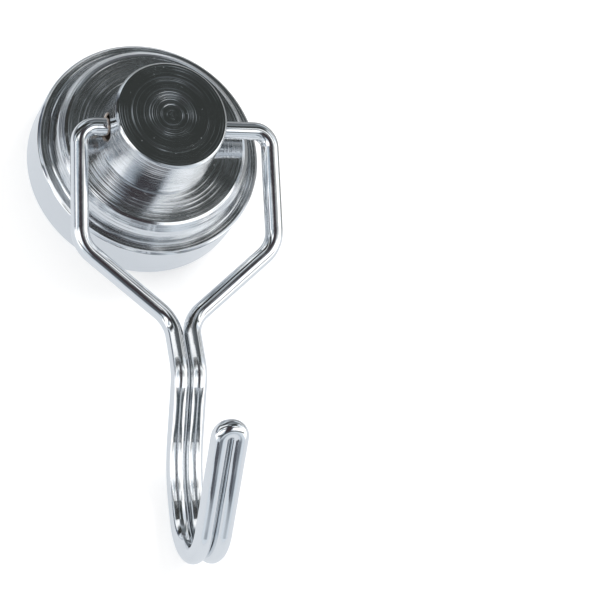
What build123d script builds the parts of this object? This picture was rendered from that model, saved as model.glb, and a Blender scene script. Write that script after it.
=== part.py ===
"""Magnetic swivel hook: a turned pot magnet, a knob that spins on it and a bent wire hook.

The origin is the centre of the magnet's back face, which sits on the steel it holds to.
-Y points away from that surface along the knob's axis, +Z is up and the hook hangs down.
"""

import os
from math import cos, radians, sin, tan

from build123d import *

# Pot: one turned steel piece; its radii step in from the outer wall, its heights up from the rim
pot_radius = 18.0
rim_height = 8.2
rim_chamfer = 0.45
back_edge_chamfer = 0.3
groove_inset = 1.55
groove_width = 0.5
groove_depth = 0.2
ring_width = 1.9
flank_run = 0.7
flank_rise = 2.7
shoulder_run = 0.95
shoulder_rise = 1.1
plateau_edge_chamfer = 0.25
wall_thickness = 3.0

# Magnet in its pocket, with the ring of potting round it
magnet_thickness = 5.0
magnet_chamfer = 0.3
potting_width = 1.4
potting_recess = 0.25

# Well in the pocket's floor, with the two washers that hold the swivel
thrust_washer_radius = 5.6
thrust_washer_thickness = 0.5
well_side_clearance = 1.0
retaining_washer_inset = 0.4
retaining_washer_thickness = 1.2
well_end_clearance = 0.7
axial_play = 0.1

# Knob and the stem below it, turned in one piece
knob_foot_radius = 9.4
knob_taper = 0.5
knob_height = 8.8
knob_edge_chamfer = 0.35
knob_foot_chamfer = 0.15
stem_radius = 3.0
stem_clearance = 0.08
tenon_radius = 2.1
rivet_head_lap = 0.8
rivet_head_thickness = 0.7
rivet_head_chamfer = 0.3

# Cross bore through the knob, which the ends of the wire turn in
pivot_rise = 3.7
bore_clearance = 0.6
bore_mouth_chamfer = 0.3

# Wire hook: one wire, bent double, with its middle at the tip
wire_diameter = 2.8
strand_gap = 0.1
wire_offset = 2.05
end_gap = 2.0
shoulder_reach = 6.0
leg_flare = 0.35
leg_length = 18.2
crotch_drop = 11.8
bail_lean = 14.1
shoulder_bend_radius = 2.6
elbow_bend_radius = 5.0
crotch_bend_radius = 5.0
wire_end_chamfer = 0.3

# Side view of the double strand below the crotch: straight runs between bends
pair_lean = 9.4
pair_run = 6.9
kink_bend_radius = 5.4
kink_angle = 41.3
back_run = 8.6
sweep_bend_radius = 17.4
heel_run = 2.9
bowl_bend_radius = 6.7
bowl_angle = 133.2
arm_run = 16.5

# Radii of the pot and of what sits in it, worked out from the sizes above
groove_radius = pot_radius - groove_inset
flank_foot_radius = pot_radius - ring_width
shoulder_radius = flank_foot_radius - flank_run
plateau_radius = shoulder_radius - shoulder_run
pocket_radius = pot_radius - wall_thickness
magnet_radius = pocket_radius - potting_width
well_radius = thrust_washer_radius + well_side_clearance
retaining_washer_radius = thrust_washer_radius - retaining_washer_inset
stem_hole_radius = stem_radius + stem_clearance
rivet_head_radius = tenon_radius + rivet_head_lap
knob_crown_radius = knob_foot_radius - knob_taper

# Heights above the magnet's back face, from the swivel's inner end to the knob's end
rivet_back = magnet_thickness + well_end_clearance
washer_back = rivet_back + rivet_head_thickness
stem_foot = washer_back + retaining_washer_thickness
well_top = stem_foot + axial_play + thrust_washer_thickness
shoulder_height = rim_height + flank_rise
plateau_height = shoulder_height + shoulder_rise
knob_foot_height = plateau_height + axial_play
knob_top_height = knob_foot_height + knob_height
pivot_height = plateau_height + pivot_rise

# Wire and its bore
wire_radius = wire_diameter / 2
bore_radius = wire_radius + bore_clearance
strand_half_spacing = (wire_diameter + strand_gap) / 2
shoulder_half_width = knob_foot_radius + shoulder_reach
elbow_half_width = shoulder_half_width + leg_flare
crotch_reach = leg_length + crotch_drop

# Turned pieces are drawn in this plane: across is the radius, up is away from the steel
turning_plane = Plane(origin=(0, 0, 0), x_dir=(1, 0, 0), z_dir=(0, 0, -1))
turning_axis = Axis((0, 0, 0), (0, -1, 0))


def turn(outline):
    """The solid that an outline of (radius, height) points sweeps round the knob's axis."""
    with BuildPart() as turned:
        with BuildSketch(turning_plane):
            with BuildLine():
                Polyline(*outline, close=True)
            make_face()
        revolve(axis=turning_axis)
    return turned.part


def circle_at(piece, radius, height):
    """The round edge of a turned piece nearest to this radius and height."""
    rounds = piece.edges().filter_by(GeomType.CIRCLE)
    return rounds.sort_by(lambda edge: abs(edge.radius - radius) + abs(edge.arc_center.Y + height))[0]


# Pot: outer wall, grooved ring, sloping flank, plateau, magnet pocket, well and stem hole
groove_inner = groove_radius - groove_width / 2
groove_outer = groove_radius + groove_width / 2
groove_floor = rim_height - groove_depth
with BuildPart() as pot:
    add(turn([
        (pocket_radius, 0),
        (pot_radius, 0),
        (pot_radius, rim_height),
        (groove_outer, rim_height),
        (groove_radius, groove_floor),
        (groove_inner, rim_height),
        (flank_foot_radius, rim_height),
        (shoulder_radius, shoulder_height),
        (plateau_radius, plateau_height),
        (stem_hole_radius, plateau_height),
        (stem_hole_radius, well_top),
        (well_radius, well_top),
        (well_radius, magnet_thickness),
        (pocket_radius, magnet_thickness),
    ]))
    chamfer(circle_at(pot, pot_radius, rim_height), rim_chamfer)
    chamfer(circle_at(pot, plateau_radius, plateau_height), plateau_edge_chamfer)
    chamfer(circle_at(pot, pot_radius, 0), back_edge_chamfer)

# Magnet: a plated disc, flush with the pot's back edge
with BuildPart() as magnet:
    add(turn([
        (0, 0),
        (magnet_radius, 0),
        (magnet_radius, magnet_thickness),
        (0, magnet_thickness),
    ]))
    chamfer(circle_at(magnet, magnet_radius, 0), magnet_chamfer)

# Potting ring: the resin that keeps the magnet apart from the steel wall
with BuildPart() as potting_ring:
    add(turn([
        (magnet_radius, magnet_chamfer),
        (pocket_radius, potting_recess),
        (pocket_radius, magnet_thickness),
        (magnet_radius, magnet_thickness),
    ]))

# Thrust washer: lies against the well's roof and takes the pull of the load
with BuildPart() as thrust_washer:
    add(turn([
        (stem_hole_radius, well_top - thrust_washer_thickness),
        (thrust_washer_radius, well_top - thrust_washer_thickness),
        (thrust_washer_radius, well_top),
        (stem_hole_radius, well_top),
    ]))

# Swivel knob: knob, stem and the riveted tenon in one piece, with the cross bore
bore_plane = Plane(origin=(0, -pivot_height, 0), x_dir=(0, 1, 0), z_dir=(1, 0, 0))
with BuildPart() as swivel_knob:
    add(turn([
        (0, rivet_back),
        (rivet_head_radius - rivet_head_chamfer, rivet_back),
        (rivet_head_radius, rivet_back + rivet_head_chamfer),
        (rivet_head_radius, washer_back),
        (tenon_radius, washer_back),
        (tenon_radius, stem_foot),
        (stem_radius, stem_foot),
        (stem_radius, knob_foot_height),
        (knob_foot_radius - knob_foot_chamfer, knob_foot_height),
        (knob_foot_radius, knob_foot_height + knob_foot_chamfer),
        (knob_crown_radius, knob_top_height - knob_edge_chamfer),
        (knob_crown_radius - knob_edge_chamfer, knob_top_height),
        (0, knob_top_height),
    ]))
    with BuildSketch(bore_plane):
        Circle(bore_radius)
    extrude(amount=knob_foot_radius, both=True, mode=Mode.SUBTRACT)
    bore_wall = swivel_knob.faces(Select.LAST).filter_by(GeomType.CYLINDER).sort_by(Axis.Y)[0]
    chamfer(bore_wall.edges().filter_by(GeomType.BSPLINE), bore_mouth_chamfer)

# Retaining washer: slipped on the tenon before its end is riveted over
with BuildPart() as retaining_washer:
    add(turn([
        (tenon_radius, washer_back),
        (retaining_washer_radius, washer_back),
        (retaining_washer_radius, stem_foot),
        (tenon_radius, stem_foot),
    ]))


def tangent_length(radius, angle):
    """How far a bend's round starts before the corner of its two straight runs."""
    return radius * tan(radians(abs(angle)) / 2)


def bail_point(across, along):
    """A point of the bail's plane, which leans back to the wall below the pivot."""
    lean = radians(bail_lean)
    return Vector(wire_offset + across, -pivot_height + along * sin(lean), -along * cos(lean))


# Left half of the wire, from its end in the knob to the start of the tip
crotch = bail_point(-strand_half_spacing, crotch_reach)
corners = [
    bail_point(-end_gap / 2, 0),
    bail_point(-shoulder_half_width, 0),
    bail_point(-elbow_half_width, leg_length),
    crotch,
]
radii = [shoulder_bend_radius, elbow_bend_radius, crotch_bend_radius]
heading = pair_lean
reach = pair_run
side_bends = [
    (kink_bend_radius, -kink_angle, back_run),
    (sweep_bend_radius, kink_angle - pair_lean, heel_run),
    (bowl_bend_radius, bowl_angle, arm_run),
]
corner = crotch
for bend_radius, bend_angle, next_run in side_bends:
    approach = tangent_length(bend_radius, bend_angle)
    away = Vector(0, -sin(radians(heading)), -cos(radians(heading)))
    corner = corner + away * (reach + approach)
    corners.append(corner)
    radii.append(bend_radius)
    heading += bend_angle
    reach = next_run + approach
arm_direction = Vector(0, -sin(radians(heading)), -cos(radians(heading)))
tip_start = corner + arm_direction * reach
tip_middle = tip_start + arm_direction * strand_half_spacing + Vector(strand_half_spacing, 0, 0)
tip_end = tip_start + Vector(2 * strand_half_spacing, 0, 0)
corners.append(tip_start)

# Wire hook: the left half, a half round at the tip and the same half mirrored
with BuildPart() as wire_hook:
    with BuildLine() as wire_line:
        left_half = FilletPolyline(*corners, radius=radii)
        ThreePointArc(tip_start, tip_middle, tip_end)
        mirror(left_half, about=Plane.YZ.offset(wire_offset))
    wire_end = Plane(origin=corners[0], z_dir=corners[1] - corners[0])
    with BuildSketch(wire_end):
        Circle(wire_radius)
    sweep(path=wire_line.wire())
    ends = wire_hook.faces().filter_by(Axis.X).filter_by(GeomType.PLANE)
    chamfer(ends.edges(), wire_end_chamfer)

pieces = {
    "pot": pot,
    "magnet": magnet,
    "potting_ring": potting_ring,
    "thrust_washer": thrust_washer,
    "swivel_knob": swivel_knob,
    "retaining_washer": retaining_washer,
    "wire_hook": wire_hook,
}
os.makedirs("parts", exist_ok=True)
for name, piece in pieces.items():
    piece.part.label = name
    export_step(piece.part, f"parts/{name}.step")
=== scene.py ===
"""Looks of the magnetic swivel hook: chromed steel on a white ground in a light studio.

Metres, in the part's own frame: -Y points away from the steel surface, +Z is up.
"""

from math import cos, pi, radians, sin

import bmesh
import bpy
from mathutils import Matrix, Vector


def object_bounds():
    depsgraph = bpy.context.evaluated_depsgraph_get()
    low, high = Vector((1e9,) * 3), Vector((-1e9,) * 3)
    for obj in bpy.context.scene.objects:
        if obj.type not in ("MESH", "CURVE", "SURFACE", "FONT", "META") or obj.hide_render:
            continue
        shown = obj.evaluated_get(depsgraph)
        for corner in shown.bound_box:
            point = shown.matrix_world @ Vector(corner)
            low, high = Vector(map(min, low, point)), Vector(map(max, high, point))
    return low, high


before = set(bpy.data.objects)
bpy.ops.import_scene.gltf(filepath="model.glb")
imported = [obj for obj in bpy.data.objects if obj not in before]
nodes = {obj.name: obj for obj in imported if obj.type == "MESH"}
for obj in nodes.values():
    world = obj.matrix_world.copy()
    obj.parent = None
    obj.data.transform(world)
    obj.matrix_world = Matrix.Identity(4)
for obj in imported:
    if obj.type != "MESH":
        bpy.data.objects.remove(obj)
cad_low, cad_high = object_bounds()
MM = 0.001

# Heights of the turned surfaces and of the bore's axis above the magnet's back face, in mm
RIM = 8.2
SHOULDER = 10.9
PLATEAU = 12.0
BORE = 15.7
KNOB_END = 20.9

# Colours of chrome plate and of bare steel, and what the turning tool left: roughness and marks
CHROME = (0.78, 0.80, 0.82)
STAINED_STEEL = (0.42, 0.34, 0.29)
TURNED_ROUGHNESS = 0.14
MARKS_PER_MM = 2.2
POT_RING_DEPTH = 0.060 * MM
KNOB_RING_DEPTH = 0.050 * MM
LINE_DEPTH = 0.050 * MM
PIT_DEPTH = 0.012 * MM

# From one height to another, in mm, with that surface's share of the roughness; the bands fade
# into each other over BAND_EDGE on both sides
POT_BANDS = [
    # Outer wall, ring, flank and plateau
    (-1.0, RIM - 0.2, 0.4),
    (RIM - 0.1, RIM + 0.1, 0.95),
    (RIM + 0.2, SHOULDER + 0.1, 0.6),
    (PLATEAU - 0.1, PLATEAU + 0.1, 0.95),
]
KNOB_BANDS = [
    # Side and end
    (PLATEAU - 1.0, KNOB_END - 0.2, 0.7),
    (KNOB_END - 0.1, KNOB_END + 1.1, 0.5),
]
BAND_EDGE = 0.05

# Where the wire's bends start or end: z and the easing's reach above and below it, in mm, then the
# angle in radians that the normal turns by
EASED_JOINTS = [
    (-35.9, 3.0, 1.8, -0.04),
    (-39.6, 1.8, 3.0, 0.10),
    (-46.9, 2.5, 2.5, 0.04),
    (-59.0, 2.5, 2.0, 0.07),
]

# Where the bending tool rubbed the wire, on its runs near the wall: z and half length, in mm
RUBBED = [(-37.5, 1.5), (-52.0, 3.0)]
RUBBED_FADE = 3.0

# The ground's tones as the chrome mirrors it: open, and where painted shade darkens it
GROUND = (0.78, 0.82, 0.87)
GROUND_SHADE = (0.10, 0.115, 0.12)

# Light tent that reflections see: its own tone, then panels, each over those before it.
# A panel has azimuth, elevation, half width, half height, soft edge and turn in degrees, and a tone.
TENT = (0.78, 0.84, 0.90)
PANELS = [
    # Soft boxes on the left and the right
    ((-52, -9, 36, 23, 5, 20), (1.62, 1.62, 1.62)),
    ((60, -12, 41, 28, 5), (1.62, 1.62, 1.62)),
    ((70, 36, 18, 10, 5), (1.20, 1.20, 1.20)),
    # Dark places overhead, and a light strip on the left
    ((-96, 32, 17, 20, 3), (0.12, 0.14, 0.18)),
    ((10, 56, 55, 11, 7), (0.16, 0.18, 0.19)),
    ((20, 72, 20, 10, 7), (0.10, 0.10, 0.11)),
    ((20, 36, 26, 8, 6), (0.12, 0.13, 0.14)),
    ((-44, 33, 24, 6, 4), (1.25, 1.25, 1.25)),
    # Dark strip above the middle, darker on the left
    ((-10, 17, 72, 5, 4), (0.12, 0.14, 0.14)),
    ((-30, 20, 24, 7, 4), (0.05, 0.05, 0.05)),
    # Greys between the soft boxes and below
    ((5, -73, 18, 7, 8), (0.16, 0.18, 0.21)),
    ((-38, 4, 6, 4, 5), (0.28, 0.34, 0.39)),
    ((-52, 19, 11, 5, 4), (0.06, 0.065, 0.07)),
    ((-29, -53, 11, 5, 4), (0.12, 0.13, 0.15)),
    ((-4, -18, 15, 31, 4), (0.50, 0.60, 0.70)),
    ((-74, 4, 8, 4, 3), (0.17, 0.18, 0.23)),
    ((-42, -2, 16, 4, 3), (0.45, 0.53, 0.61)),
    ((32, -3, 14, 4.5, 4), (0.45, 0.46, 0.45)),
    # Dark strips across and the dark opening below the middle
    ((0, -48, 62, 6, 4), (0.07, 0.085, 0.095)),
    ((-2, -3.5, 27, 4.5, 3), (0.085, 0.09, 0.10)),
    ((-2, -14, 14, 29, 3), (0.055, 0.045, 0.050)),
    ((10, -14, 5, 6, 3), (0.055, 0.045, 0.050)),
    # Dark opening that the plateau and the knob's end mirror
    ((23, 23, 15, 10, 5), (0.040, 0.044, 0.042)),
]

# The photograph's view: the camera's place and lens in mm, and how it is turned in degrees,
# from +Y towards +X, then upwards, then round its own line of sight
CAMERA_PLACE = (-99.88, -315.13, -136.49)
CAMERA_LENS = 132.4
CAMERA_YAW = 21.6789
CAMERA_PITCH = 18.5669
CAMERA_ROLL = 7.1416


# Small helpers for shader trees


class Shader:
    """A node tree with short calls for the nodes that the materials share."""

    def __init__(self, tree):
        self.tree = tree

    def add(self, kind, **settings):
        made = self.tree.nodes.new("ShaderNode" + kind)
        for name, value in settings.items():
            setattr(made, name, value)
        return made

    def feed(self, socket, value):
        if isinstance(value, bpy.types.NodeSocket):
            self.tree.links.new(value, socket)
        else:
            socket.default_value = value

    def math(self, operation, *values):
        made = self.add("Math", operation=operation)
        for socket, value in zip(made.inputs, values):
            self.feed(socket, value)
        return made.outputs[0]

    def vector(self, operation, *values, output=0):
        made = self.add("VectorMath", operation=operation)
        for socket, value in zip(made.inputs, values):
            self.feed(socket, value)
        return made.outputs[output]

    def parts(self, vector):
        made = self.add("SeparateXYZ")
        self.feed(made.inputs[0], vector)
        return made.outputs

    def smooth(self, value, low, high, to_low=0.0, to_high=1.0):
        made = self.add("MapRange", interpolation_type="SMOOTHSTEP")
        for socket, number in zip(made.inputs, (value, low, high, to_low, to_high)):
            self.feed(socket, number)
        return made.outputs[0]

    def mix(self, factor, first, second):
        made = self.add("Mix", data_type="RGBA")
        self.feed(made.inputs["Factor"], factor)
        self.feed(made.inputs[6], first)
        self.feed(made.inputs[7], second)
        return made.outputs[2]

    def noise(self, place, scale, detail=2.0, roughness=0.5, dimensions="3D"):
        made = self.add("TexNoise", noise_dimensions=dimensions)
        self.feed(made.inputs["W" if dimensions == "1D" else "Vector"], place)
        made.inputs["Scale"].default_value = scale
        made.inputs["Detail"].default_value = detail
        made.inputs["Roughness"].default_value = roughness
        return made.outputs["Fac"]

    def bump(self, height, distance, normal=None):
        made = self.add("Bump")
        made.inputs["Strength"].default_value = 1.0
        made.inputs["Distance"].default_value = distance
        self.feed(made.inputs["Height"], height)
        if normal is not None:
            self.feed(made.inputs["Normal"], normal)
        return made.outputs["Normal"]


def new_material(name):
    """A material with its shader tree and its Principled shader."""
    made = bpy.data.materials.new(name)
    made.use_nodes = True
    return made, Shader(made.node_tree), made.node_tree.nodes["Principled BSDF"]


def dress(node, material):
    """Puts the material on every slot of a CAD node."""
    for slot in nodes[node].material_slots:
        slot.material = material


def turning_places(shader):
    """The place in metres, and in mm the radius from the knob's axis and the height from the wall."""
    place = shader.add("TexCoord").outputs["Object"]
    x, y, z = shader.parts(place)
    squares = shader.math("ADD", shader.math("MULTIPLY", x, x), shader.math("MULTIPLY", z, z))
    radius = shader.math("DIVIDE", shader.math("SQRT", squares), MM)
    height = shader.math("DIVIDE", y, -MM)
    return place, radius, height


# Materials


def tool_marks(shader, along):
    """Marks of the turning tool along one way: the radius on a face, the height on a side."""
    return shader.noise(along, MARKS_PER_MM, detail=2.0, roughness=0.6, dimensions="1D")


def turned_chrome(name, bands, ring_depth, knob):
    """Chrome plate over turned steel: rings on the faces, lines round the sides and a few pits.

    The pot's rings are deeper on its outer ring, and the lines on its wall are faint. The knob's
    rings are deepest round the middle of its end, and the steel is bare round its cross bore.
    """
    material, shader, surface = new_material(name)
    place, radius, height = turning_places(shader)
    patches = shader.smooth(shader.noise(place, 170.0, detail=1.0), 0.3, 0.7, 0.45, 1.3)
    if knob:
        on_end = shader.smooth(height, KNOB_END - 0.1, KNOB_END)
        outwards = shader.smooth(radius, 3.2, 5.2, 0.0, -0.35)
        share = shader.math("MULTIPLY_ADD", on_end, outwards, 1.0)
    else:
        above_wall = shader.smooth(height, RIM - 0.15, RIM - 0.05)
        below_flank = shader.smooth(height, RIM + 0.4, RIM + 0.05)
        on_ring = shader.math("MULTIPLY", above_wall, below_flank)
        share = shader.math("MULTIPLY_ADD", on_ring, 0.6, 1.0)
    rings = shader.math("MULTIPLY", tool_marks(shader, radius), shader.math("MULTIPLY", patches, share))
    normal = shader.bump(rings, ring_depth)

    share = shader.smooth(height, RIM - 0.2, RIM + 0.4, 0.22, 1.0)
    lines = shader.math("MULTIPLY", tool_marks(shader, height), shader.math("MULTIPLY", patches, share))
    normal = shader.bump(lines, LINE_DEPTH, normal)

    pits = shader.add("TexVoronoi")
    shader.feed(pits.inputs["Vector"], place)
    pits.inputs["Scale"].default_value = 850.0
    normal = shader.bump(shader.smooth(pits.outputs["Distance"], 0.03, 0.07), PIT_DEPTH, normal)

    speckle = shader.noise(place, 2600.0)
    rough = shader.smooth(speckle, 0.35, 0.75, TURNED_ROUGHNESS, 1.25 * TURNED_ROUGHNESS)
    for low, high, factor in bands:
        above = shader.smooth(height, low - BAND_EDGE, low + BAND_EDGE)
        below = shader.smooth(height, high + BAND_EDGE, high - BAND_EDGE)
        band = shader.math("MULTIPLY", above, below)
        rough = shader.math("MULTIPLY", rough, shader.math("MULTIPLY_ADD", band, factor - 1.0, 1.0))

    darker = [0.94 * part for part in CHROME]
    colour = shader.mix(shader.noise(place, 90.0), (*CHROME, 1), (*darker, 1))
    if knob:
        across = shader.vector("MULTIPLY", place, (0.0, 1.0, 1.0))
        offset = shader.vector("DISTANCE", across, (0.0, -BORE * MM, 0.0), output=1)
        ragged = shader.math("MULTIPLY_ADD", shader.noise(place, 1200.0), 0.5 * MM, offset)
        stained = shader.smooth(ragged, 2.75 * MM, 2.35 * MM)
        colour = shader.mix(stained, colour, (*STAINED_STEEL, 1))
        rough = shader.math("MULTIPLY_ADD", stained, 0.15, rough)
    shader.feed(surface.inputs["Normal"], normal)
    shader.feed(surface.inputs["Roughness"], rough)
    shader.feed(surface.inputs["Base Color"], colour)
    surface.inputs["Metallic"].default_value = 1.0
    surface.inputs["Anisotropic"].default_value = 0.9
    surface.inputs["Anisotropic Rotation"].default_value = 0.25
    tangent = shader.add("Tangent", direction_type="RADIAL", axis="Y")
    shader.feed(surface.inputs["Tangent"], tangent.outputs[0])
    return material


def wire_chrome():
    """Chrome plate over drawn wire: nearly a mirror, satin where the bending tool rubbed it.

    The real bends set in gradually, so the normal is turned a little where the runs meet them.
    """
    material, shader, surface = new_material("wire_chrome_plate")
    coordinate = shader.add("TexCoord")
    place = coordinate.outputs["Object"]
    facing = coordinate.outputs["Normal"]
    y, z = shader.parts(place)[1:]
    turn = 0.0
    for joint, above, below, angle in EASED_JOINTS:
        rise = shader.smooth(z, (joint - below) * MM, joint * MM, 0.0, angle)
        fall = shader.smooth(z, joint * MM, (joint + above) * MM, 1.0, 0.0)
        turn = shader.math("MULTIPLY_ADD", rise, fall, turn)
    tilt = shader.add("CombineXYZ")
    shader.feed(tilt.inputs[2], shader.math("MULTIPLY", turn, shader.parts(facing)[1]))
    eased = shader.vector("NORMALIZE", shader.vector("SUBTRACT", facing, tilt.outputs[0]))
    world = shader.add("VectorTransform", vector_type="NORMAL", convert_from="OBJECT", convert_to="WORLD")
    shader.feed(world.inputs[0], eased)

    sway = shader.noise(place, 110.0, detail=0.0)
    waves = shader.noise(place, 260.0, detail=1.0)
    grain = shader.noise(place, 3800.0)
    normal = shader.bump(sway, 0.30 * MM, world.outputs[0])
    normal = shader.bump(waves, 0.020 * MM, normal)
    normal = shader.bump(grain, 0.0004 * MM, normal)

    rough = shader.smooth(grain, 0.3, 0.8, 0.08, 0.14)
    behind = shader.smooth(y, -14 * MM, -12 * MM)
    for middle, half in RUBBED:
        away = shader.math("ABSOLUTE", shader.math("SUBTRACT", z, middle * MM))
        satin = shader.smooth(away, (half + RUBBED_FADE) * MM, half * MM)
        rough = shader.math("MULTIPLY_ADD", shader.math("MULTIPLY", satin, behind), 0.08, rough)
    shader.feed(surface.inputs["Normal"], normal)
    shader.feed(surface.inputs["Roughness"], rough)
    surface.inputs["Base Color"].default_value = (*CHROME, 1)
    surface.inputs["Metallic"].default_value = 1.0
    return material


def satin_plate(name, colour, roughness):
    """Satin plate on the magnet and the washers, with faint concentric scuffs."""
    material, shader, surface = new_material(name)
    place, radius = turning_places(shader)[:2]
    scuffs = shader.noise(radius, 5.0, detail=4.0, dimensions="1D")
    stains = shader.noise(place, 160.0, detail=4.0)
    dark = [0.8 * part for part in colour]
    shader.feed(surface.inputs["Base Color"], shader.mix(stains, (*dark, 1), (*colour, 1)))
    shader.feed(surface.inputs["Roughness"], shader.smooth(scuffs, 0.3, 0.7, roughness, 1.5 * roughness))
    shader.feed(surface.inputs["Normal"], shader.bump(scuffs, 0.01 * MM))
    surface.inputs["Metallic"].default_value = 1.0
    return material


def resin():
    """Cured black resin round the magnet, a little uneven."""
    material, shader, surface = new_material("cured_resin")
    lumps = shader.noise(shader.add("TexCoord").outputs["Object"], 500.0, detail=3.0)
    colour = shader.mix(lumps, (0.02, 0.02, 0.022, 1), (0.05, 0.05, 0.055, 1))
    shader.feed(surface.inputs["Base Color"], colour)
    shader.feed(surface.inputs["Roughness"], shader.smooth(lumps, 0.3, 0.7, 0.25, 0.5))
    shader.feed(surface.inputs["Normal"], shader.bump(lumps, 0.15 * MM))
    return material


washer_plate = satin_plate("washer_plate", (0.50, 0.51, 0.52), 0.30)
dress("pot", turned_chrome("pot_chrome_plate", POT_BANDS, POT_RING_DEPTH, knob=False))
dress("swivel_knob", turned_chrome("knob_chrome_plate", KNOB_BANDS, KNOB_RING_DEPTH, knob=True))
dress("wire_hook", wire_chrome())
dress("magnet", satin_plate("magnet_nickel_plate", (0.55, 0.54, 0.52), 0.22))
dress("potting_ring", resin())
dress("thrust_washer", washer_plate)
dress("retaining_washer", washer_plate)


# Studio: the light tent, the ground, dark cards, lamps and the camera


def direction(azimuth, elevation):
    """The unit vector at an azimuth from -Y towards +X and an elevation, in degrees."""
    a, e = radians(azimuth), radians(elevation)
    return Vector((sin(a) * cos(e), -cos(a) * cos(e), sin(e)))


def panel(shader, ray, azimuth, elevation, width, height, soft, turn=0.0):
    """1 inside a soft-edged rectangle of the tent and 0 outside; sizes are half angles."""
    ahead = direction(azimuth, elevation)
    across = Vector((cos(radians(azimuth)), sin(radians(azimuth)), 0))
    up = across.cross(ahead)
    spin = Matrix.Rotation(radians(turn), 3, ahead)
    depth = shader.vector("DOT_PRODUCT", ray, ahead, output=1)
    depth_kept = shader.math("MAXIMUM", depth, 0.001)
    inside = shader.smooth(depth, 0.0, 0.05)
    for line, half in ((spin @ across, width), (spin @ up, height)):
        offset = shader.math("ABSOLUTE", shader.vector("DOT_PRODUCT", ray, line, output=1))
        angle = shader.math("ARCTANGENT", shader.math("DIVIDE", offset, depth_kept))
        edge = shader.smooth(angle, radians(half + soft), radians(half - soft))
        inside = shader.math("MULTIPLY", inside, edge)
    return inside


def choose(shader, factor, first, second):
    """The first shader where the factor is 0 and the second where it is 1."""
    made = shader.add("MixShader")
    for socket, value in zip(made.inputs, (factor, first, second)):
        shader.feed(socket, value)
    return made.outputs[0]


def light_tent():
    """The world: white to the camera, the painted tent to reflections, plain to the rest."""
    world = bpy.data.worlds.new("studio")
    world.use_nodes = True
    bpy.context.scene.world = world
    shader = Shader(world.node_tree)
    world.node_tree.nodes.clear()
    ray = shader.vector("NORMALIZE", shader.add("TexCoord").outputs["Generated"])
    colour = (*TENT, 1)
    for place, tone in PANELS:
        colour = shader.mix(panel(shader, ray, *place), colour, (*tone, 1))
    path = shader.add("LightPath")
    white = shader.add("Background")
    tent = shader.add("Background")
    plain = shader.add("Background")
    white.inputs["Color"].default_value = (1, 1, 1, 1)
    plain.inputs["Color"].default_value = (1, 1, 1, 1)
    plain.inputs["Strength"].default_value = 0.75
    shader.feed(tent.inputs["Color"], colour)
    reflected = shader.math("MAXIMUM", path.outputs["Is Glossy Ray"], path.outputs["Is Transmission Ray"])
    unseen = choose(shader, reflected, plain.outputs[0], tent.outputs[0])
    output = shader.add("OutputWorld")
    seen = choose(shader, path.outputs["Is Camera Ray"], unseen, white.outputs[0])
    shader.feed(output.inputs["Surface"], seen)


def ground_material():
    """White paper that chrome mirrors in a cool grey, with painted shade at the upper right and above the
    magnet.

    Seen from behind it is clear, so the magnet's own face shows.
    """
    material, shader, surface = new_material("ground_white")
    path = shader.add("LightPath")
    reflected = path.outputs["Is Glossy Ray"]
    x, _, z = shader.parts(shader.add("TexCoord").outputs["Object"])
    # Painted shade in the mirrored ground, seen only in reflections: dark to the upper right and above
    # the magnet
    beyond = shader.smooth(x, 8 * MM, 20 * MM)
    above = shader.smooth(z, -14 * MM, -5 * MM)
    upper = shader.smooth(z, 25 * MM, 45 * MM)
    shade = shader.math("MAXIMUM", shader.math("MULTIPLY", beyond, above), upper)
    mirrored = shader.mix(shade, (*GROUND, 1), (*GROUND_SHADE, 1))
    paper = shader.mix(reflected, (0.8, 0.8, 0.8, 1), (0.2, 0.2, 0.2, 1))
    shader.feed(surface.inputs["Base Color"], paper)
    surface.inputs["Roughness"].default_value = 1.0
    surface.inputs["Specular IOR Level"].default_value = 0.0
    shader.feed(surface.inputs["Emission Color"], shader.mix(reflected, (1, 1, 1, 1), mirrored))
    glow = shader.math("MULTIPLY", path.outputs["Is Camera Ray"], 0.35)
    shader.feed(surface.inputs["Emission Strength"], shader.math("MULTIPLY_ADD", reflected, 0.80, glow))
    clear = shader.add("BsdfTransparent")
    behind = shader.add("NewGeometry").outputs["Backfacing"]
    chosen = choose(shader, behind, surface.outputs[0], clear.outputs[0])
    shader.feed(material.node_tree.nodes["Material Output"].inputs["Surface"], chosen)
    return material


def ground():
    """The white ground that the magnet stands on, with a hole that the pot hides."""
    reach, hole, lift = 1.5, 17.5 * MM, 0.1 * MM
    steps = 96
    shape = bmesh.new()
    inner, outer = [], []
    for step in range(steps):
        angle = 2 * pi * step / steps
        inner.append(shape.verts.new((hole * cos(angle), lift, hole * sin(angle))))
        outer.append(shape.verts.new((reach * cos(angle), lift, reach * sin(angle))))
    for step in range(steps):
        after = (step + 1) % steps
        shape.faces.new((inner[step], outer[step], outer[after], inner[after]))
    mesh = bpy.data.meshes.new("ground")
    shape.to_mesh(mesh)
    shape.free()
    made = bpy.data.objects.new("ground", mesh)
    bpy.context.scene.collection.objects.link(made)
    mesh.materials.append(ground_material())


def lamp(name, azimuth, elevation, power):
    """A square soft box that looks at the middle of the part; no reflection shows it."""
    size, distance = 0.30, 0.45
    light = bpy.data.lights.new(name, "AREA")
    light.size = size
    light.energy = power
    made = bpy.data.objects.new(name, light)
    back = direction(azimuth, elevation)
    made.location = (cad_low + cad_high) / 2 + back * distance
    made.rotation_mode = "QUATERNION"
    made.rotation_quaternion = back.to_track_quat("Z", "Y")
    made.visible_glossy = False
    made.visible_camera = False
    bpy.context.scene.collection.objects.link(made)


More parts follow.
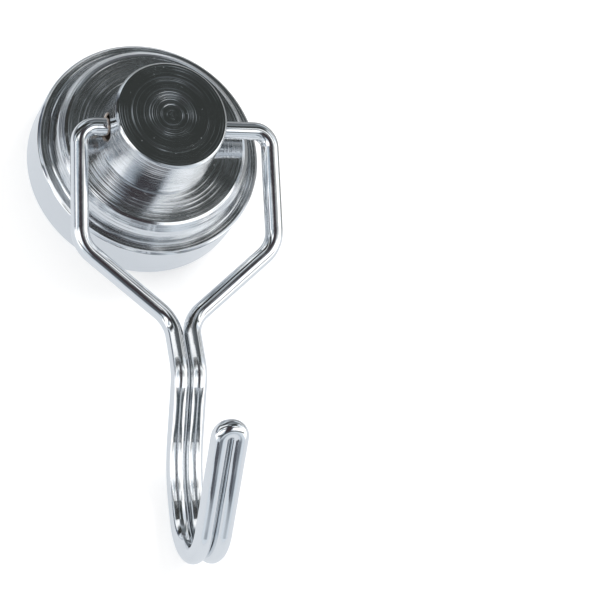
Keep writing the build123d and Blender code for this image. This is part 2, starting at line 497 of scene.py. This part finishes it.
def card(name, tone, aim, azimuth, elevation, distance, half_width, half_height, turn):
    """A dark card that only reflections see, facing the point aim; lengths are in mm."""
    back = direction(azimuth, elevation)
    across = Vector((cos(radians(azimuth)), sin(radians(azimuth)), 0))
    up = back.cross(across)
    axes = Matrix.Rotation(radians(turn), 3, back) @ Matrix((across, up, back)).transposed()
    x, y = half_width * MM, half_height * MM
    corners = [(-x, -y, 0), (x, -y, 0), (x, y, 0), (-x, y, 0)]
    shape = bmesh.new()
    shape.faces.new([shape.verts.new(corner) for corner in corners])
    mesh = bpy.data.meshes.new(name)
    shape.to_mesh(mesh)
    shape.free()
    made = bpy.data.objects.new(name, mesh)
    made.matrix_world = Matrix.Translation((Vector(aim) + back * distance) * MM) @ axes.to_4x4()
    made.visible_camera = False
    made.visible_diffuse = False
    made.visible_shadow = False
    bpy.context.scene.collection.objects.link(made)
    material, _, surface = new_material(name + "_black")
    surface.inputs["Base Color"].default_value = (*tone, 1)
    surface.inputs["Roughness"].default_value = 1.0
    mesh.materials.append(material)


def camera():
    """The photograph's own view, from below and to the left of the hook."""
    yaw, pitch = radians(CAMERA_YAW), radians(CAMERA_PITCH)
    ahead = Vector((sin(yaw) * cos(pitch), cos(yaw) * cos(pitch), sin(pitch)))
    level = Vector((cos(yaw), -sin(yaw), 0))
    right = Matrix.Rotation(radians(CAMERA_ROLL), 3, ahead) @ level
    axes = Matrix((right, right.cross(ahead), -ahead)).transposed()
    lens = bpy.data.cameras.new("camera")
    lens.sensor_width = 36.0
    lens.lens = CAMERA_LENS
    lens.clip_start = 0.01
    lens.clip_end = 10.0
    made = bpy.data.objects.new("camera", lens)
    made.matrix_world = Matrix.Translation(Vector(CAMERA_PLACE) * MM) @ axes.to_4x4()
    bpy.context.scene.collection.objects.link(made)
    bpy.context.scene.camera = made


light_tent()
ground()
card("flag", (0.03, 0.03, 0.028), (-14, -9, 7), -38, 34, 90, 58, 20, 0)
card("low_flag", (0.07, 0.075, 0.09), (2, -21.6, -57.8), -60, -61, 34, 11, 4.5, -62)
lamp("key", 60, 35, 1.6)
lamp("fill", -70, 10, 0.8)
camera()
bpy.context.scene.view_settings.view_transform = "Standard"
